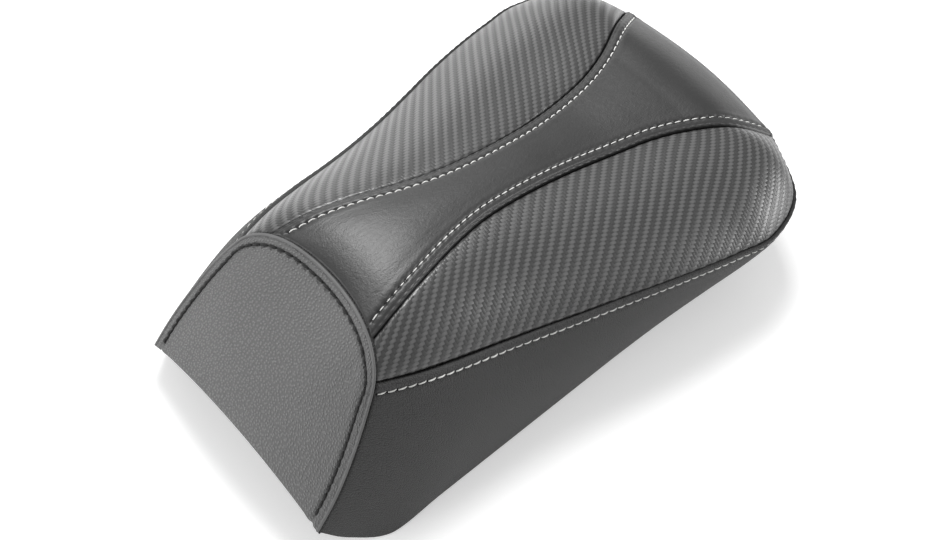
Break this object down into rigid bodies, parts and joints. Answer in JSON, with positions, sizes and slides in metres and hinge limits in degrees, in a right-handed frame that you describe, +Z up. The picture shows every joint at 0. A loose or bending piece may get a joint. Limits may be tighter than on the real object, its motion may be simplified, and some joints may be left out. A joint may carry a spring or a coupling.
{
  "type": "motorcycle passenger seat pad",
  "caption": "Upholstered motorcycle passenger pad with a waisted centre strip, twill side panels, white topstitching, a sloped front panel and an arched pan with a tongue and a bolt tab.",
  "frame": {"origin": "centre of the pad's footprint, at the height of the two rails under the pan that it stands on", "axes": "+Z up out of the seat, +Y towards the rear of the motorcycle, +X across it (the motorcycle's left side is +X)"},
  "size_m": [0.2292, 0.3756, 0.1257],
  "materials": {
    "foam": "moulded open-cell polyurethane foam, hidden under the cover",
    "smooth_vinyl": "smooth leather-look vinyl with fine creases, satin",
    "twill_vinyl": "vinyl embossed with a carbon-fibre twill, semi-gloss",
    "grained_vinyl": "fine-grained vinyl, matt",
    "pebbled_vinyl": "coarse pebble-grained vinyl, matt",
    "welt_vinyl": "folded edge of the front panel's vinyl",
    "white_thread": "bonded polyester thread, white",
    "black_thread": "bonded polyester thread, black",
    "pan_plastic": "moulded polypropylene, fine texture",
    "hem_vinyl": "the cover's edge, turned under the pan",
    "staple_wire": "galvanised wire",
    "felt": "needle felt, dark grey",
    "pad_rubber": "moulded rubber, matt",
    "bracket_steel": "steel strip with black powder coat, satin",
    "rivet_metal": "plain aluminium rivet"
  },
  "bodies": {
    "root": {"foam_core": "foam", "centre_strip": "smooth_vinyl", "left_side_panel": "twill_vinyl", "right_side_panel": "twill_vinyl", "left_skirt": "grained_vinyl", "right_skirt": "grained_vinyl", "front_panel": "pebbled_vinyl", "front_edge_welt": "welt_vinyl", "left_upper_stitching": "white_thread", "right_upper_stitching": "white_thread", "left_lower_stitching": "white_thread", "right_lower_stitching": "white_thread", "front_stitching": "black_thread", "base_pan": "pan_plastic", "cover_hem": "hem_vinyl", "hem_staples": "staple_wire", "fender_liner": "felt", "fender_pads": "pad_rubber", "front_tongue": "bracket_steel", "front_tongue_rivets": "rivet_metal", "rear_bracket": "bracket_steel", "rear_bracket_rivets": "rivet_metal"}
  },
  "joints": []
}
